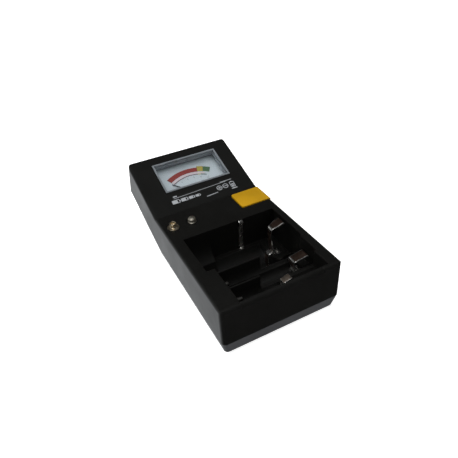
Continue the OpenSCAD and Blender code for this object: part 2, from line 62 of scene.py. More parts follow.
# ---------------------------------------------------------------- node helpers
class Mat:
    """A small wrapper for building node materials."""

    def __init__(self, name):
        self.m = bpy.data.materials.new(name)
        self.m.use_nodes = True
        self.t = self.m.node_tree
        self.n = self.t.nodes
        self.bsdf = self.n["Principled BSDF"]
        self.co = self.n.new("ShaderNodeTexCoord")

    def link(self, a, b):
        self.t.links.new(a, b)

    def noise(self, scale, detail=3.0, rough=0.5, stretch=None, distortion=0.0):
        t = self.n.new("ShaderNodeTexNoise")
        t.inputs["Scale"].default_value = scale
        t.inputs["Detail"].default_value = detail
        t.inputs["Roughness"].default_value = rough
        t.inputs["Distortion"].default_value = distortion
        src = self.co.outputs["Object"]
        if stretch:
            mp = self.n.new("ShaderNodeMapping")
            mp.inputs["Scale"].default_value = stretch
            self.link(src, mp.inputs["Vector"])
            src = mp.outputs["Vector"]
        self.link(src, t.inputs["Vector"])
        return t.outputs["Fac"]

    def voronoi(self, scale, feature="F1"):
        t = self.n.new("ShaderNodeTexVoronoi")
        t.feature = feature
        t.inputs["Scale"].default_value = scale
        self.link(self.co.outputs["Object"], t.inputs["Vector"])
        return t.outputs["Distance"]

    def ramp(self, fac, a, b, p0=0.35, p1=0.65):
        r = self.n.new("ShaderNodeValToRGB")
        r.color_ramp.elements[0].position = p0
        r.color_ramp.elements[1].position = p1
        r.color_ramp.elements[0].color = (*a, 1)
        r.color_ramp.elements[1].color = (*b, 1)
        self.link(fac, r.inputs["Fac"])
        return r.outputs["Color"]

    def rng(self, fac, a, b, lo=0.3, hi=0.7):
        r = self.n.new("ShaderNodeMapRange")
        r.inputs["From Min"].default_value = lo
        r.inputs["From Max"].default_value = hi
        r.inputs["To Min"].default_value = a
        r.inputs["To Max"].default_value = b
        self.link(fac, r.inputs["Value"])
        return r.outputs["Result"]

    def mix(self, fac, a, b, kind="MIX"):
        m = self.n.new("ShaderNodeMix")
        m.data_type = "RGBA"
        m.blend_type = kind
        if isinstance(fac, (int, float)):
            m.inputs["Factor"].default_value = fac
        else:
            self.link(fac, m.inputs["Factor"])
        for i, v in ((6, a), (7, b)):
            if isinstance(v, tuple):
                m.inputs[i].default_value = (*v, 1)
            else:
                self.link(v, m.inputs[i])
        return m.outputs[2]

    def math(self, op, a, b=None):
        m = self.n.new("ShaderNodeMath")
        m.operation = op
        for i, v in ((0, a), (1, b)):
            if v is None:
                continue
            if isinstance(v, (int, float)):
                m.inputs[i].default_value = v
            else:
                self.link(v, m.inputs[i])
        return m.outputs[0]

    def edge(self, radius):
        """(rounded normal, mask that is 1 on edges) from a bevel of this radius in mm."""
        b = self.n.new("ShaderNodeBevel")
        b.samples = 6
        b.inputs["Radius"].default_value = radius * MM
        g = self.n.new("ShaderNodeNewGeometry")
        d = self.n.new("ShaderNodeVectorMath")
        d.operation = "DOT_PRODUCT"
        self.link(b.outputs["Normal"], d.inputs[0])
        self.link(g.outputs["Normal"], d.inputs[1])
        mask = self.rng(d.outputs["Value"], 1.0, 0.0, 0.86, 0.985)
        return b.outputs["Normal"], mask

    def bump(self, height, dist, strength=1.0, normal=None):
        b = self.n.new("ShaderNodeBump")
        b.inputs["Distance"].default_value = dist * MM
        b.inputs["Strength"].default_value = strength
        self.link(height, b.inputs["Height"])
        if normal is not None:
            self.link(normal, b.inputs["Normal"])
        self.link(b.outputs["Normal"], self.bsdf.inputs["Normal"])
        return b.outputs["Normal"]

    def set(self, **kw):
        for k, v in kw.items():
            s = self.bsdf.inputs[k.replace("_", " ")]
            if isinstance(v, (int, float)):
                s.default_value = v
            elif isinstance(v, tuple):
                s.default_value = v if len(v) == 4 else (*v, 1)
            else:
                self.link(v, s)


def mul(c, k):
    return tuple(min(1.0, x * k) for x in c)


def moulded(name, col, rough=0.42, grain=0.012, grain_scale=2600, edge_mm=0.35, edge_wear_highlight_amt=0.25, spec=0.5, scuff=0.06, light=2.2):
    """Injection moulded plastic: spark-eroded grain, faint flow mottling, scuffs, and edges painted paler, partly as
    rubbed wear and partly as a painted highlight.
    """
    k = Mat(name)
    n, mask = k.edge(edge_mm)
    mott = k.noise(45, 4, 0.6)
    base = k.ramp(mott, mul(col, 0.86), mul(col, 1.14), 0.3, 0.7)
    fine = k.noise(grain_scale, 2, 0.7)
    pits = k.voronoi(grain_scale * 0.55)
    scr = k.noise(260, 5, 0.75, stretch=(1, 0.12, 1), distortion=0.6)
    scrm = k.rng(scr, 0.0, 1.0, 0.62, 0.74)
    # edges painted paler: partly rubbed wear, partly a painted highlight along the edges
    edge_wear_and_highlight = k.math("MULTIPLY", mask, k.rng(k.noise(420, 3, 0.6), 0.35, 1.0, 0.35, 0.65))
    edge_wear_and_highlight = k.math("MULTIPLY", edge_wear_and_highlight, edge_wear_highlight_amt)
    c1 = k.mix(edge_wear_and_highlight, base, mul(col, light) if max(col) > 0.02 else tuple(x * light + 0.006 for x in col))
    c2 = k.mix(k.math("MULTIPLY", scrm, scuff), c1, tuple(min(1, x * 1.5 + 0.01) for x in col))
    r = k.math("ADD", k.rng(mott, rough - 0.04, rough + 0.05), k.math("MULTIPLY", scrm, 0.06))
    h = k.math("ADD", k.math("MULTIPLY", fine, 0.6), k.math("MULTIPLY", pits, 0.6))
    k.set(Base_Color=c2, Roughness=r)
    k.bsdf.inputs["Specular IOR Level"].default_value = spec
    k.bump(h, grain, 0.6, n)
    return k.m


def metal(name, col, rough=0.22, brushed=(1, 1, 1), scale=700, edge_mm=0.12, tarnish=None, tarn_amt=0.35, bump=0.004):
    """Plated or bare strip metal: drawing lines, handling haze, tarnish gathering in patches, and edges painted
    brighter as a painted highlight.
    """
    k = Mat(name)
    n, mask = k.edge(edge_mm)
    lines = k.noise(scale, 4, 0.7, stretch=brushed)
    haze = k.noise(170, 4, 0.6)
    dark = tarnish or mul(col, 0.55)
    patch = k.rng(k.noise(240, 5, 0.65, distortion=0.4), 0.0, 1.0, 0.45, 0.68)
    c = k.ramp(lines, mul(col, 0.88), mul(col, 1.08), 0.35, 0.65)
    c = k.mix(k.math("MULTIPLY", patch, tarn_amt), c, dark)
    # edges painted brighter: a painted highlight along the metal's edges
    c = k.mix(k.math("MULTIPLY", mask, 0.35), c, mul(col, 1.25))
    k.set(Base_Color=c, Metallic=1.0)
    k.link(k.math("ADD", k.rng(haze, rough - 0.05, rough + 0.12), k.math("MULTIPLY", patch, 0.12)), k.bsdf.inputs["Roughness"])
    k.bump(lines, bump, 0.5, n)
    return k.m


def ink(name, col, rough=0.5, mottle=0.12, clear=0.0):
    """Screen-printed ink: slightly uneven film with a dotted edge to its thickness."""
    k = Mat(name)
    f = k.noise(900, 4, 0.7)
    g = k.noise(3200, 2, 0.6)
    c = k.ramp(f, mul(col, 1 - mottle), mul(col, 1 + mottle), 0.3, 0.7)
    k.set(Base_Color=c, Roughness=k.rng(g, rough - 0.06, rough + 0.08))
    k.bsdf.inputs["Coat Weight"].default_value = clear
    k.bump(g, 0.004, 0.4)
    return k.m


# ---------------------------------------------------------------- materials
BLACK = (0.0050, 0.0049, 0.0044)
m_top = moulded("case_black", BLACK, rough=0.36, grain=0.008, edge_wear_highlight_amt=0.22, spec=0.32, scuff=0.10, edge_mm=0.5, light=1.8)
# skirt grey, far paler than the black top: a painted reflection of the pale table on the downward chamfer
m_bot = moulded("case_skirt", (0.058, 0.060, 0.064), rough=0.46, grain=0.014, edge_wear_highlight_amt=0.3, spec=0.5, scuff=0.14, edge_mm=0.4)
m_bezel = moulded("bezel_grey", (0.17, 0.188, 0.205), rough=0.28, grain=0.004, edge_wear_highlight_amt=0.6, spec=0.6, scuff=0.05, edge_mm=0.16, light=2.2)
m_house = moulded("housing_grey", (0.17, 0.18, 0.195), rough=0.5, grain=0.008, edge_wear_highlight_amt=0.2, scuff=0.05)
m_key = moulded("key_amber", (0.46, 0.250, 0.0030), rough=0.40, grain=0.009, edge_wear_highlight_amt=0.30, spec=0.30, scuff=0.05, edge_mm=0.5, light=1.1)
m_switch = moulded("switch_black", (0.02, 0.02, 0.022), rough=0.5)
m_plunger = moulded("switch_white", (0.72, 0.70, 0.63), rough=0.42, light=1.1)
m_res = moulded("resistor_body", (0.55, 0.44, 0.26), rough=0.38, light=1.2)
m_wire = moulded("wire_cover", (0.28, 0.02, 0.018), rough=0.35, grain=0.004)
m_nickel = metal("nickel", (0.80, 0.78, 0.74), rough=0.20, brushed=(1, 0.15, 1), scale=260, tarnish=(0.42, 0.36, 0.28), tarn_amt=0.22, bump=0.0006)
m_strip = metal("spring_strip", (0.20, 0.135, 0.105), rough=0.34, brushed=(0.12, 1, 1), scale=300, tarnish=(0.10, 0.055, 0.040), tarn_amt=0.6, bump=0.0008)
m_gilt = metal("snap_gilt", (0.80, 0.70, 0.52), rough=0.22, brushed=(1, 1, 0.1), scale=240, tarnish=(0.50, 0.33, 0.13), tarn_amt=0.35, bump=0.0006)
m_buff = metal("spring_buff", (0.46, 0.38, 0.31), rough=0.4, brushed=(0.12, 1, 1), scale=300, tarnish=(0.30, 0.22, 0.16), tarn_amt=0.4, bump=0.0008)
m_stud = metal("snap_stud_plate", (0.70, 0.65, 0.55), rough=0.4, scale=240, tarnish=(0.36, 0.30, 0.20), tarn_amt=0.3, bump=0.0006)
# darker copy of the contact nickel: painted shade standing in for the dark surroundings the tips reflect
m_tip_painted_dark = metal("nickel_painted_dark", (0.36, 0.35, 0.33), rough=0.26, scale=260, tarnish=(0.18, 0.16, 0.13), tarn_amt=0.4, bump=0.0006)
m_brass = metal("brass", (0.78, 0.60, 0.28), rough=0.28, tarnish=(0.40, 0.26, 0.10), tarn_amt=0.4)
m_iron = metal("soft_iron", (0.36, 0.36, 0.37), rough=0.42, tarnish=(0.20, 0.17, 0.15))
m_magnet = metal("magnet", (0.18, 0.18, 0.19), rough=0.55, tarnish=(0.10, 0.09, 0.09), bump=0.012)
m_steel = metal("steel_bright", (0.70, 0.71, 0.73), rough=0.2)
m_zinc = metal("screw_steel", (0.48, 0.49, 0.50), rough=0.32, tarnish=(0.26, 0.25, 0.24), bump=0.008)
m_coil = metal("coil_copper", (0.62, 0.28, 0.13), rough=0.32, brushed=(1, 1, 9), scale=900, bump=0.02)


def board_mat():
    k = Mat("board_green")
    n, mask = k.edge(0.15)
    tr = k.noise(330, 1, 0.3, stretch=(1, 0.25, 1))
    traces = k.rng(tr, 0.0, 1.0, 0.49, 0.51)
    weave = k.noise(1500, 2, 0.6)
    c = k.mix(k.math("MULTIPLY", traces, 0.6), (0.02, 0.12, 0.045), (0.05, 0.24, 0.09))
    c = k.mix(k.math("MULTIPLY", mask, 0.6), c, (0.45, 0.38, 0.20))
    k.set(Base_Color=c, Roughness=k.rng(weave, 0.22, 0.34))
    k.bump(traces, 0.02, 0.5, n)
    return k.m


def cover_mat():
    """Clear moulded acrylic: see-through, with faint haze and fine wiping scratches; it throws no shadow."""
    k = Mat("clear_cover")
    scr = k.noise(520, 5, 0.8, stretch=(0.06, 1, 1), distortion=0.3)
    s = k.rng(scr, 0.0, 1.0, 0.60, 0.72)
    out = k.n["Material Output"]
    tr = k.n.new("ShaderNodeBsdfTransparent")
    tr.inputs["Color"].default_value = (0.95, 0.965, 0.975, 1)
    gl = k.n.new("ShaderNodeBsdfGlossy")
    gl.inputs["Color"].default_value = (1, 1, 1, 1)
    k.link(k.math("ADD", k.math("MULTIPLY", s, 0.10), 0.05), gl.inputs["Roughness"])
    fr = k.n.new("ShaderNodeFresnel")
    fr.inputs["IOR"].default_value = 1.49
    mx = k.n.new("ShaderNodeMixShader")
    geo_ = k.n.new("ShaderNodeNewGeometry")
    outer = k.math("SUBTRACT", 1.0, geo_.outputs["Backfacing"])
    k.link(k.math("MULTIPLY", k.math("MULTIPLY", fr.outputs["Fac"], 0.8), outer), mx.inputs["Fac"])
    k.link(tr.outputs["BSDF"], mx.inputs[1])
    k.link(gl.outputs["BSDF"], mx.inputs[2])
    mx2 = k.n.new("ShaderNodeMixShader")
    k.set(Base_Color=(0.50, 0.54, 0.58), Roughness=0.4)
    k.link(k.math("ADD", k.math("MULTIPLY", s, 0.03), 0.004), mx2.inputs["Fac"])
    k.link(mx.outputs["Shader"], mx2.inputs[1])
    k.link(k.bsdf.outputs["BSDF"], mx2.inputs[2])
    lp = k.n.new("ShaderNodeLightPath")
    shade = k.math("MAXIMUM", lp.outputs["Is Shadow Ray"], lp.outputs["Is Diffuse Ray"])
    clear = k.n.new("ShaderNodeBsdfTransparent")
    mx3 = k.n.new("ShaderNodeMixShader")
    k.link(shade, mx3.inputs["Fac"])
    k.link(mx2.outputs["Shader"], mx3.inputs[1])
    k.link(clear.outputs["BSDF"], mx3.inputs[2])
    k.link(mx3.outputs["Shader"], out.inputs["Surface"])
    return k.m


def dial_mat():
    k = Mat("dial_paint")
    f = k.noise(30, 3, 0.5)
    g = k.noise(2400, 3, 0.7)
    c = k.ramp(f, (0.43, 0.485, 0.51), (0.465, 0.515, 0.545), 0.3, 0.7)
    spk = k.rng(k.noise(1800, 2, 0.6), 0.0, 0.12, 0.70, 0.78)
    c = k.mix(spk, c, (0.34, 0.36, 0.38))
    k.set(Base_Color=c, Roughness=k.rng(g, 0.42, 0.55))
    k.bump(g, 0.006, 0.5)
    return k.m


m_board, m_cover, m_dial = board_mat(), cover_mat(), dial_mat()
m_pointer = ink("pointer_paint", (0.012, 0.012, 0.013), 0.4)

FINISH = {
    "top_shell": m_top, "bottom_shell": m_bot, "meter_bezel": m_bezel, "meter_cover": m_cover,
    "meter_housing": m_house, "dial_plate": m_dial, "yoke_ring": m_iron, "magnet_core": m_magnet,
    "upper_bridge": m_brass, "moving_coil": m_coil, "pivot_shaft": m_steel, "pointer": m_pointer,
    "meter_terminals": m_brass, "test_button": m_key, "switch_body": m_switch, "switch_plunger": m_plunger,
    "circuit_board": m_board, "load_resistors": m_res, "snap_stud": m_gilt, "snap_socket": m_gilt,
    "contact_d": m_nickel, "contact_aa": m_tip_painted_dark, "contact_n": m_tip_painted_dark, "leaf_feet": m_nickel,
    "leaf_d": m_strip, "leaf_c": m_strip, "leaf_aa": m_strip, "leaf_n": m_strip,
    "coin_contact": m_nickel, "contact_rivets": m_nickel, "lead_wires": m_wire, "case_screws": m_zinc,
}
for name, obj in nodes.items():
    obj.data.materials.clear()
    obj.data.materials.append(FINISH[name])


# ---------------------------------------------------------------- mesh helpers
def new_mesh(name, verts, faces, mat, smooth=None):
    me = bpy.data.meshes.new(name)
    me.from_pydata([tuple(v) for v in verts], [], faces)
    me.update()
    bm = bmesh.new()
    bm.from_mesh(me)
    bmesh.ops.recalc_face_normals(bm, faces=bm.faces)
    bm.to_mesh(me)
    bm.free()
    if smooth is not None:
        for p in me.polygons:
            p.use_smooth = True
        me.set_sharp_from_angle(angle=math.radians(smooth))
    o = bpy.data.objects.new(name, me)
    scene.collection.objects.link(o)
    me.materials.append(mat)
    return o


def spline(pts, n=6):
    """Smooth points through pts, Catmull-Rom, n per span."""
    p = [Vector(q) for q in pts]
    p = [p[0] * 2 - p[1]] + p + [p[-1] * 2 - p[-2]]
    out = []
    for i in range(1, len(p) - 2):
        for k in range(n):
            t = k / n
            a, b, c, d = p[i - 1], p[i], p[i + 1], p[i + 2]
            out.append(0.5 * ((2 * b) + (c - a) * t + (2 * a - 5 * b + 4 * c - d) * t * t + (3 * b - a - 3 * c + d) * t ** 3))
    out.append(p[-2])
    return out


def ribbon(name, pts, y0, y1, t, mat, body, dish=0.0, taper=1.0, n=7, axis="y"):
    """A bent strip along pts (across, up), wide from y0 to y1, with rounded edges and a slight dish across its width."""
    c = spline([(a, 0, b) for a, b in pts], n)
    # cross-section: (offset along width -1..1, offset along thickness -1..1)
    sec = [(-1, -0.35), (-0.94, -0.85), (-0.8, -1), (-0.4, -1), (0, -1), (0.4, -1), (0.8, -1), (0.94, -0.85), (1, -0.35),
           (1, 0.35), (0.94, 0.85), (0.8, 1), (0.4, 1), (0, 1), (-0.4, 1), (-0.8, 1), (-0.94, 0.85), (-1, 0.35)]
    verts, faces = [], []
    hw, mid = (y1 - y0) / 2, (y0 + y1) / 2
    for i, p in enumerate(c):
        d = (c[min(i + 1, len(c) - 1)] - c[max(i - 1, 0)]).normalized()
        nrm = Vector((-d.z, 0, d.x))
        s = i / (len(c) - 1)
        w = hw * (1 - (1 - taper) * max(0.0, (s - 0.6) / 0.4))
        end = min(i, len(c) - 1 - i)
        if end == 0:
            w *= 0.9
        for a, b in sec:
            q = p + nrm * (b * t / 2 + dish * (1 - a * a)) + Vector((0, mid + a * w, 0))
            verts.append(deck(q.x, q.y, q.z) if axis == "y" else deck(q.y, q.x, q.z))
    k = len(sec)
    for i in range(len(c) - 1):
        for j in range(k):
            a, b = i * k + j, i * k + (j + 1) % k
            faces.append((a, b, b + k, a + k))
    faces.append(tuple(range(k)))
    faces.append(tuple(range((len(c) - 1) * k, len(c) * k)))
    o = new_mesh(name, verts, faces, mat, 40)
    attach(o, body)
    return o


def lathe(name, prof, centre, mat, body, seg=64, petals=0, depth=0.0, zlo=0.0, zhi=9.9, frame_fn=None):
    """A turned piece from (r, z) points; petals scallop the part above zlo."""
    verts, faces = [], []
    for i in range(seg):
        a = 2 * math.pi * i / seg
        for r, z in prof:
            rr = r
            if petals and r > 0.5 and z > zlo:
                f = min(1.0, (z - zlo) / max(0.01, zhi - zlo))
                rr = r - depth * f * (0.5 - 0.5 * math.cos(petals * a)) ** 4
            p = (centre[0] + rr * math.cos(a), centre[1] + rr * math.sin(a), centre[2] + z)
            verts.append(frame_fn(*p) if frame_fn else deck(*p))
    k = len(prof)
    for i in range(seg):
        for j in range(k - 1):
            a, b = i * k + j, ((i + 1) % seg) * k + j
            faces.append((a, b, b + 1, a + 1))
    o = new_mesh(name, verts, faces, mat, 35)
    bm = bmesh.new()
    bm.from_mesh(o.data)
    bmesh.ops.remove_doubles(bm, verts=bm.verts, dist=1e-7)
    bmesh.ops.recalc_face_normals(bm, faces=bm.faces)
    bm.to_mesh(o.data)
    bm.free()
    for p in o.data.polygons:
        p.use_smooth = True
    o.data.set_sharp_from_angle(angle=math.radians(35))
    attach(o, body)
    return o


def slab(name, loops, place, thick, mat, body, join=None):
    """Thin printed shapes: each loop is a closed outline of (a, b) points, raised by thick from place(a, b, 0)."""
    verts, faces = [], []
    for lp in loops:
        s = len(verts)
        n = len(lp)
        for a, b in lp:
            verts.append(place(a, b, 0.0))
        for a, b in lp:
            verts.append(place(a, b, thick))
        faces.append(tuple(range(s, s + n)))
        faces.append(tuple(range(s + n, s + 2 * n)))
        for i in range(n):
            j = (i + 1) % n
            faces.append((s + i, s + j, s + n + j, s + n + i))
    o = new_mesh(name, verts, faces, mat)
    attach(o, body)
    return o


def sector(cx, cu, r0, r1, a0, a1, n=40, slant=0.0):
    """Annular band, angles in degrees clockwise from straight up the face."""
    pts = []
    for i in range(n + 1):
        a = math.radians(a0 + (a1 - a0) * i / n)
        pts.append((cx + r1 * math.sin(a), cu + r1 * math.cos(a)))
    for i in range(n + 1):
        a = math.radians(a1 - (a1 - a0) * i / n)
        pts.append((cx + r0 * math.sin(a), cu + r0 * math.cos(a)))
    return pts


def quads(loop_pairs):
    return loop_pairs


def rect(x0, x1, u0, u1, r=0.0, n=4):
    if r <= 0:
        return [(x0, u0), (x1, u0), (x1, u1), (x0, u1)]
    pts = []
    for cx, cu, s in ((x1 - r, u0 + r, -90), (x1 - r, u1 - r, 0), (x0 + r, u1 - r, 90), (x0 + r, u0 + r, 180)):
        for i in range(n + 1):
            a = math.radians(s + 90 * i / n)
            pts.append((cx + r * math.cos(a), cu + r * math.sin(a)))
    return pts


def band(name, cx, cu, r0, r1, a0, a1, w, thick, mat, n=36):
    """Annular band as a strip of quads, so that it stays flat and clean."""
    verts, faces = [], []
    for i in range(n + 1):
        a = math.radians(a0 + (a1 - a0) * i / n)
        for r in (r0, r1):
            for t in (0, thick):
                verts.append(face(cx + r * math.sin(a), cu + r * math.cos(a), w + t))
    for i in range(n):
        s, e = i * 4, i * 4 + 4
        faces += [(s, s + 2, e + 2, e), (s + 1, e + 1, e + 3, s + 3), (s, e, e + 1, s + 1), (s + 2, s + 3, e + 3, e + 2)]
    faces += [(0, 1, 3, 2), (n * 4, n * 4 + 2, n * 4 + 3, n * 4 + 1)]
    o = new_mesh(name, verts, faces, mat)
    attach(o, "case")
    return o


# ---------------------------------------------------------------- dial print
PX, PU = 0.74, 7.19
DW = -5.98
i_red = ink("ink_red", (0.235, 0.024, 0.018), 0.5, 0.18)
i_yel = ink("ink_yellow", (0.36, 0.29, 0.045), 0.5, 0.14)
i_grn = ink("ink_green", (0.055, 0.125, 0.055), 0.5, 0.2)
i_maroon = ink("ink_maroon", (0.10, 0.022, 0.040), 0.5, 0.18)
i_green2 = ink("ink_deep_green", (0.020, 0.060, 0.035), 0.5, 0.18)
i_pale = ink("ink_pale", (0.56, 0.47, 0.47), 0.5, 0.08)
i_dark = ink("ink_dark", (0.06, 0.064, 0.07), 0.5, 0.2)
i_white = ink("ink_white", (0.36, 0.38, 0.40), 0.5, 0.12)
band("scale_red", PX, PU, 27.15, 31.15, -32.5, 15, DW, 0.03, i_red, 48)
band("scale_yellow", PX, PU, 27.3, 32.4, 15, 23.4, DW, 0.03, i_yel, 12)
band("scale_green", PX, PU, 27.4, 32.2, 23.4, 33, DW, 0.03, i_grn, 12)
band("scale_gap", PX, PU, 25.3, 26.7, -32.5, 26, DW, 0.02, i_pale)
band("second_red", PX, PU, 24.3, 24.95, -32.5, 14.5, DW, 0.03, i_maroon)
band("second_yellow", PX, PU, 24.3, 24.95, 14.5, 20, DW, 0.03, i_yel, 8)
band("second_green", PX, PU, 24.2, 25.0, 20, 29.5, DW, 0.03, i_green2, 8)
# thin dark divisions across the coloured band
for i, ang in enumerate((-32.5, 15, 23.4, 33)):
    band("division_%d" % i, PX, PU, 27.0, 32.3 if i else 31.3, ang - 0.18, ang + 0.18, DW + 0.01, 0.03, i_dark, 2)

# dial graduations: short strokes above the coloured band, with plain numbers
def stroke(pts, hw):
    """Quads (a, b outlines) that follow a polyline with half width hw."""
    out = []
    for (x0, y0), (x1, y1) in zip(pts, pts[1:]):
        d = math.hypot(x1 - x0, y1 - y0) or 1.0
        ex, ey = (x1 - x0) / d * hw, (y1 - y0) / d * hw
        out.append([(x0 - ex - ey, y0 - ey + ex), (x0 - ex + ey, y0 - ey - ex), (x1 + ex + ey, y1 + ey - ex), (x1 + ex - ey, y1 + ey + ex)])
    return out


DIGITS = {
    "0": [[(0, 0), (0, 1), (0.55, 1), (0.55, 0), (0, 0)]],
    "1": [[(0.1, 0.8), (0.3, 1), (0.3, 0)]],
    "2": [[(0, 0.85), (0.15, 1), (0.55, 1), (0.55, 0.55), (0, 0.1), (0, 0), (0.55, 0)]],
    "4": [[(0.45, 0), (0.45, 1), (0, 0.35), (0.6, 0.35)]],
    "6": [[(0.55, 1), (0.1, 1), (0, 0.8), (0, 0), (0.55, 0), (0.55, 0.5), (0, 0.5)]],
    "8": [[(0, 0), (0, 1), (0.55, 1), (0.55, 0), (0, 0)], [(0, 0.5), (0.55, 0.5)]],
}


def dial_pt(a, b, c):
    return face(a, b, DW + c)


def face_pt(a, b, c):
    return face(a, b, 0.01 + c)


ticks = []
for i in range(21):
    ang = math.radians(-32.5 + 65.5 * i / 20)
    r0, r1 = 23.95, 23.45 - (0.4 if i % 4 == 0 else 0.0)
    ticks += stroke([(PX + r0 * math.sin(ang), PU + r0 * math.cos(ang)), (PX + r1 * math.sin(ang), PU + r1 * math.cos(ang))], 0.05)
slab("dial_ticks", ticks, dial_pt, 0.02, i_dark, "case")
marks = []
for i, txt in enumerate(("0", "2", "4", "6", "8", "10")):
    ang = math.radians(-32.5 + 65.5 * i / 5)
    cx0, cu0 = PX + 22.0 * math.sin(ang), PU + 22.0 * math.cos(ang)
    for j, ch in enumerate(txt):
        for line in DIGITS[ch]:
            marks += stroke([(cx0 + (px + 0.8 * j - 0.4 * len(txt)) * 1.1, cu0 + (py - 0.5) * 1.1) for px, py in line], 0.06)
slab("dial_numbers", marks, dial_pt, 0.02, i_dark, "case")

# face print: a rule, a row of little cell symbols, terminal signs and a level symbol
slab("print_rule", stroke([(-20, 11.55), (19.2, 12.7)], 0.16), face_pt, 0.02, i_white, "case")


def cell_icon(x, u, w, h, hw=0.17, fill=0.0):
    out = stroke([(x, u), (x + w, u), (x + w, u + h), (x, u + h), (x, u)], hw)
    out.append([(x + w + hw, u + h * 0.3), (x + w + hw + 0.5, u + h * 0.3), (x + w + hw + 0.5, u + h * 0.7), (x + w + hw, u + h * 0.7)])
    if fill:
        out.append([(x + hw, u + hw), (x + w * fill, u + hw), (x + w * fill, u + h - hw), (x + hw, u + h - hw)])
    return out


icons = []
for x, w, h in ((-22.0, 5.0, 2.7), (-15.6, 4.3, 2.3), (-9.9, 3.6, 1.9), (-5.0, 2.9, 1.6)):
    icons += cell_icon(x, 7.3 + (x + 22) * 0.02, w, h, 0.2, 0.72)
slab("print_cells", icons, face_pt, 0.02, i_white, "case")
slab("print_mark", [rect(-20.0, -17.2, 12.6, 13.5, 0.3)], face_pt, 0.02, i_white, "case")
slab("print_dashes", [l for k in range(9) for l in stroke([(2.0 + k * 0.95, 5.1 + k * 0.06), (2.55 + k * 0.95, 5.1 + k * 0.06 + 0.02)], 0.27)], face_pt, 0.02, i_white, "case")
slab("print_dots", [l for k in range(9) for l in stroke([(15.6 + k * 0.98, 13.2), (16.15 + k * 0.98, 13.2)], 0.25)], face_pt, 0.02, i_white, "case")


def ring_loops(cx, cu, r0, r1, a0, a1, n=18):
    out = []
    for i in range(n):
        b0, b1 = math.radians(a0 + (a1 - a0) * i / n), math.radians(a0 + (a1 - a0) * (i + 1) / n)
        out.append([(cx + r0 * math.cos(b0), cu + r0 * math.sin(b0)), (cx + r1 * math.cos(b0), cu + r1 * math.sin(b0)),
                    (cx + r1 * math.cos(b1), cu + r1 * math.sin(b1)), (cx + r0 * math.cos(b1), cu + r0 * math.sin(b1))])
    return out


signs = ring_loops(12.9, 8.7, 1.55, 2.05, 0, 360, 28) + stroke([(11.9, 8.7), (13.9, 8.7)], 0.24) + stroke([(12.9, 7.7), (12.9, 9.7)], 0.24)
signs += ring_loops(17.6, 8.9, 1.55, 2.05, 0, 360, 28) + stroke([(16.6, 8.9), (18.6, 8.9)], 0.24)
slab("print_signs", signs, face_pt, 0.02, i_white, "case")
level = stroke([(21.4, 6.3), (24.4, 6.3), (24.4, 10.7), (21.4, 10.7), (21.4, 6.3)], 0.2)
level += [rect(22.2, 23.6, 10.95, 11.4), rect(21.9, 23.9, 6.8, 7.7), rect(21.9, 23.9, 8.1, 9.0), rect(20.9, 25.0, 4.5, 5.3)]
slab("print_level", level, face_pt, 0.02, i_white, "case")

# snaps: a turned stud and a petalled socket
SX0, SX1, SY, SZ = -30.6, -17.8, 80.0, DECK
stud = lathe("snap_stud_turned", [(0, 2.9), (0.5, 2.89), (1.0, 2.83), (1.5, 2.7), (1.95, 2.48), (2.3, 2.16), (2.52, 1.78), (2.6, 1.4), (2.58, 1.05),
                                  (2.48, 0.8), (2.42, 0.6), (2.4, 0.35), (2.46, 0.12), (2.6, -0.02), (2.74, -0.12), (2.78, -0.24), (2.74, -0.45),
                                  (1.5, -0.5), (1.5, -2.25), (2.45, -2.3), (2.6, -2.45), (2.6, -3.3), (2.4, -3.4), (0, -3.4)], (SX1, SY, SZ), m_stud, "case", 72)
socket = lathe("snap_socket_turned", [(0, 1.5), (0.6, 1.48), (1.1, 1.4), (1.38, 1.55), (1.46, 2.0), (1.5, 2.5), (1.58, 2.82), (1.74, 3.0), (1.94, 3.04), (2.12, 2.92),
                                      (2.2, 2.66), (2.14, 2.3), (2.02, 1.9), (1.96, 1.4), (2.0, 0.95), (2.14, 0.66), (2.4, 0.48), (2.8, 0.36), (3.2, 0.3), (3.55, 0.24),
                                      (3.78, 0.14), (3.85, 0.0), (3.83, -0.45), (1.5, -0.5), (1.5, -2.25), (2.45, -2.3), (2.6, -2.45), (2.6, -3.3), (2.4, -3.4), (0, -3.4)],
               (SX0, SY, SZ), m_gilt, "case", 96, petals=6, depth=0.16, zlo=1.6, zhi=2.6)
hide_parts("snap_stud")
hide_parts("snap_socket")


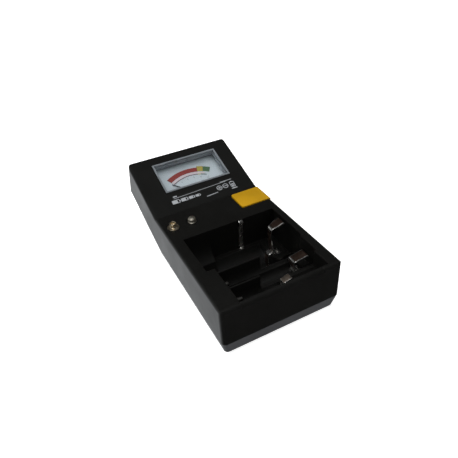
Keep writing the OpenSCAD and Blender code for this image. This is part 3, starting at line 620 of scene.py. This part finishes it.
def leaf(name, path, y0, y1, lip, spread, body, lip_from, n=6, t=0.5, back=0.0, brown=((0.0, 1.0),), top=None):
    """A contact leaf: a bent strip whose edges are rolled down, with bright nickel on the bends and edges as a painted
    highlight and brown on the flat.
    """
    c = spline([(a, 0, b) for a, b in path], n)
    mid, hw = (y0 + y1) / 2, (y1 - y0) / 2
    verts, faces, mats_ = [], [], []
    rows = len(c)
    k = 22
    for i, p in enumerate(c):
        d = (c[min(i + 1, rows - 1)] - c[max(i - 1, 0)]).normalized()
        nr = Vector((-d.z, 0, d.x))
        s = i / (rows - 1)
        f = min(1.0, max(0.0, (s - lip_from) / 0.12))
        f = f * f * (3 - 2 * f)
        w = hw + spread * f
        L = lip * f + 0.02
        e = 0.9 if i in (0, rows - 1) else 1.0
        sec = [(-0.86, 0.5), (-0.4, 0.54), (0, 0.56), (0.4, 0.54), (0.86, 0.5)]
        ring = [(mid + a * w * e + back * f * (a + 1) / 2, b * t * e) for a, b in sec]
        yb, yf = mid + w * e + back * f, mid - w * e
        ring += [(yb - 0.05, 0.42 * t), (yb, 0.15 * t), (yb, -0.2 * t), (yb - 0.1, -0.48 * t)]
        ring += [(mid + a * w * e + back * f * (a + 1) / 2, -0.5 * t) for a in (0.8, 0.4, 0, -0.4, -0.8)]
        ring += [(yf + 0.30, -0.5 * t - 0.3 * L), (yf + 0.26, -0.5 * t - 0.85 * L), (yf + 0.16, -0.5 * t - L), (yf + 0.02, -0.5 * t - 0.9 * L),
                 (yf - 0.04, -0.5 * t - 0.5 * L), (yf - 0.04, -0.1 * t), (yf + 0.02, 0.25 * t), (yf + 0.14, 0.42 * t)]
        for yy, zz in ring:
            q = p + nr * zz
            verts.append(deck(q.x, yy, q.z))
    for i in range(rows - 1):
        s = i / (rows - 1)
        for j in range(k):
            a, b = i * k + j, i * k + (j + 1) % k
            faces.append((a, b, b + k, a + k))
            # listed flat spans take the brown top material; bends and rolled edges keep the bright nickel as a painted
            # highlight
            flat = j in (0, 1, 2, 3) and any(a_ <= s <= b_ for a_, b_ in brown)
            mats_.append(1 if flat else 0)
    faces.append(tuple(range(k)))
    faces.append(tuple(range((rows - 1) * k, rows * k)))
    mats_ += [0, 0]
    me = bpy.data.meshes.new(name)
    me.from_pydata([tuple(v) for v in verts], [], faces)
    me.materials.append(m_nickel)
    me.materials.append(top or m_strip)
    for poly, m in zip(me.polygons, mats_):
        poly.material_index = m
        poly.use_smooth = True
    me.update()
    bm = bmesh.new()
    bm.from_mesh(me)
    bmesh.ops.recalc_face_normals(bm, faces=bm.faces)
    bm.to_mesh(me)
    bm.free()
    me.set_sharp_from_angle(angle=math.radians(50))
    o = bpy.data.objects.new(name, me)
    scene.collection.objects.link(o)
    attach(o, body)
    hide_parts(body)
    return o


leaf("leaf_d_strip", [(22.6, 13.4), (21.6, 17.5), (20.95, 22.5), (20.6, 27), (20.5, 29.8), (20.62, 31.3), (21.3, 32.6), (22.6, 33.3), (25.5, 34.0), (28.0, 34.8), (29.0, 35.0), (29.5, 34.6), (29.5, 33.9)],
     46.2, 51.0, 0.55, 0.25, "leaf_d", 0.56, back=1.2, brown=((0.0, 0.40), (0.55, 0.90)))
leaf("leaf_c_strip", [(16.6, 6.2), (15.9, 9), (15.5, 12.4), (15.42, 15), (15.5, 16.6), (15.9, 17.8), (16.8, 18.4), (18.2, 18.7), (19.3, 18.6)],
     41.6, 46.0, 0.4, 0.1, "leaf_c", 0.7, brown=((0.0, 0.58),))
leaf("leaf_aa_strip", [(21.2, 18.9), (20.2, 21.8), (19.6, 24.0), (19.35, 25.5), (19.6, 26.6), (20.4, 27.15), (23, 27.6), (26, 28.1), (28.0, 28.5), (28.8, 28.3), (29.0, 27.6)],
     19.2, 25.4, 0.25, 0.1, "leaf_aa", 0.42, brown=((0.1, 0.3), (0.48, 0.9)))
leaf("leaf_n_strip", [(5.0, 23), (4.35, 25), (4.05, 26.6), (4.05, 27.8), (4.35, 28.6), (5.0, 29.0), (6.5, 29.35), (8.4, 29.9), (9.4, 29.9)],
     6.7, 10.9, 0.45, 0.1, "leaf_n", 0.5, brown=((0.5, 0.95),), top=m_buff)

# the coin contact's springy upper finger and its two feet
coin = ribbon("coin_contact_strip", [(61.9, 11.95), (63.2, 11.95), (64.1, 12.25), (64.45, 13.2), (64.5, 16), (64.5, 22), (64.45, 27.6), (64.1, 29.2), (63.3, 30.4), (63.0, 31.4), (63.3, 32.5), (64.0, 33.2), (64.5, 33.6)],
              7.2, 10.2, 0.4, m_nickel, "case", dish=0.12, n=6, axis="x")
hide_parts("coin_contact")

# ---------------------------------------------------------------- camera, floor, light
AZ, EL, ROLL = math.radians(-25.089), math.radians(36.862), math.radians(-4.085)
back = Vector((math.sin(AZ) * math.cos(EL), -math.cos(AZ) * math.cos(EL), math.sin(EL)))
cam = bpy.data.cameras.new("camera")
cam_o = bpy.data.objects.new("camera", cam)
scene.collection.objects.link(cam_o)
cam.lens = 35.153
cam.sensor_width = 36
cam.clip_start = 0.01
target = Vector((0.0040369, 0.0222, 0.023678))
cam_o.location = Vector((-0.0953862, -0.1901510, 0.1994842))
fwd = -back
r = fwd.cross(Vector((0, 0, 1))).normalized()
u = r.cross(fwd)
r2 = r * math.cos(ROLL) + u * math.sin(ROLL)
u2 = -r * math.sin(ROLL) + u * math.cos(ROLL)
cam_o.rotation_euler = Matrix((r2, u2, back)).transposed().to_euler()
scene.camera = cam_o

floor_me = bpy.data.meshes.new("floor")
floor_me.from_pydata([(-4, -4, -0.0002), (4, -4, -0.0002), (4, 4, -0.0002), (-4, 4, -0.0002)], [], [(0, 1, 2, 3)])
floor = bpy.data.objects.new("floor", floor_me)
scene.collection.objects.link(floor)
kf = Mat("floor_pale")
kf.set(Base_Color=kf.ramp(kf.noise(3, 3, 0.5), (0.90, 0.90, 0.90), (0.92, 0.92, 0.92)), Roughness=0.75)
kf.bsdf.inputs["Specular IOR Level"].default_value = 0.1
kf.set(Emission_Color=(1.0, 1.0, 1.0))
kf.bsdf.inputs["Emission Strength"].default_value = 0.65
floor_me.materials.append(kf.m)
floor.visible_glossy = False


def area(name, loc, look, size, power, col=(1, 1, 1)):
    l = bpy.data.lights.new(name, "AREA")
    l.energy = power
    l.size = size
    l.color = col
    o = bpy.data.objects.new(name, l)
    scene.collection.objects.link(o)
    o.location = loc
    o.rotation_euler = (Vector(look) - Vector(loc)).to_track_quat("-Z", "Y").to_euler()
    return o


key = area("key_light", (-0.75, 0.55, 1.1), (0, 0.02, 0.02), 0.9, 8.5)
fill = area("fill_light", (0.5, -0.9, 1.2), (0, 0.02, 0.02), 1.2, 4.5)
top = area("top_light", (0.0, 0.2, 1.6), (0, 0.02, 0.0), 1.4, 11)
for o in (key, fill, top):
    o.visible_glossy = False

# world: pale for the camera and for diffuse light, and a soft studio gradient in reflections
w = bpy.data.worlds.new("studio")
scene.world = w
w.use_nodes = True
t = w.node_tree
t.nodes.clear()
out = t.nodes.new("ShaderNodeOutputWorld")
geo = t.nodes.new("ShaderNodeTexCoord")
sep = t.nodes.new("ShaderNodeSeparateXYZ")
t.links.new(geo.outputs["Generated"], sep.inputs[0])


def wmath(op, a, b=None, clamp=False):
    m = t.nodes.new("ShaderNodeMath")
    m.operation = op
    m.use_clamp = clamp
    for i, v in ((0, a), (1, b)):
        if v is None:
            continue
        if isinstance(v, (int, float)):
            m.inputs[i].default_value = v
        else:
            t.links.new(v, m.inputs[i])
    return m.outputs[0]


def wdot(d):
    v = t.nodes.new("ShaderNodeVectorMath")
    v.operation = "DOT_PRODUCT"
    t.links.new(geo.outputs["Generated"], v.inputs[0])
    v.inputs[1].default_value = Vector(d).normalized()
    return v.outputs["Value"]


def wsmooth(val, lo, hi):
    m = t.nodes.new("ShaderNodeMapRange")
    m.interpolation_type = "SMOOTHSTEP"
    m.inputs["From Min"].default_value = lo
    m.inputs["From Max"].default_value = hi
    t.links.new(val, m.inputs["Value"])
    return m.outputs["Result"]


glow_left = wsmooth(wdot((-0.55, 0.75, -0.45)), 0.55, 0.98)     # pale table to the left and behind
glow_top = wsmooth(wdot((0.3, 0.05, 0.95)), 0.80, 0.99)
lvl = wmath("ADD", wmath("MULTIPLY", glow_left, 0.93), wmath("MULTIPLY", glow_top, 0.12))
spot = wsmooth(wdot((-0.42, -0.30, 0.86)), 0.90, 0.985)
lvl = wmath("ADD", lvl, wmath("MULTIPLY", spot, 3.2))
lvl = wmath("ADD", lvl, 0.03)
lp = t.nodes.new("ShaderNodeLightPath")
bg_soft = t.nodes.new("ShaderNodeBackground")
bg_soft.inputs["Color"].default_value = (1, 1, 1, 1)
bg_soft.inputs["Strength"].default_value = 0.375
bg_gl = t.nodes.new("ShaderNodeBackground")
bg_gl.inputs["Color"].default_value = (0.95, 0.98, 1.0, 1)
t.links.new(lvl, bg_gl.inputs["Strength"])
mx = t.nodes.new("ShaderNodeMixShader")
t.links.new(lp.outputs["Is Glossy Ray"], mx.inputs["Fac"])
t.links.new(bg_soft.outputs[0], mx.inputs[1])
t.links.new(bg_gl.outputs[0], mx.inputs[2])
t.links.new(mx.outputs[0], out.inputs["Surface"])

scene.view_settings.view_transform = "Standard"
scene.view_settings.look = "None"
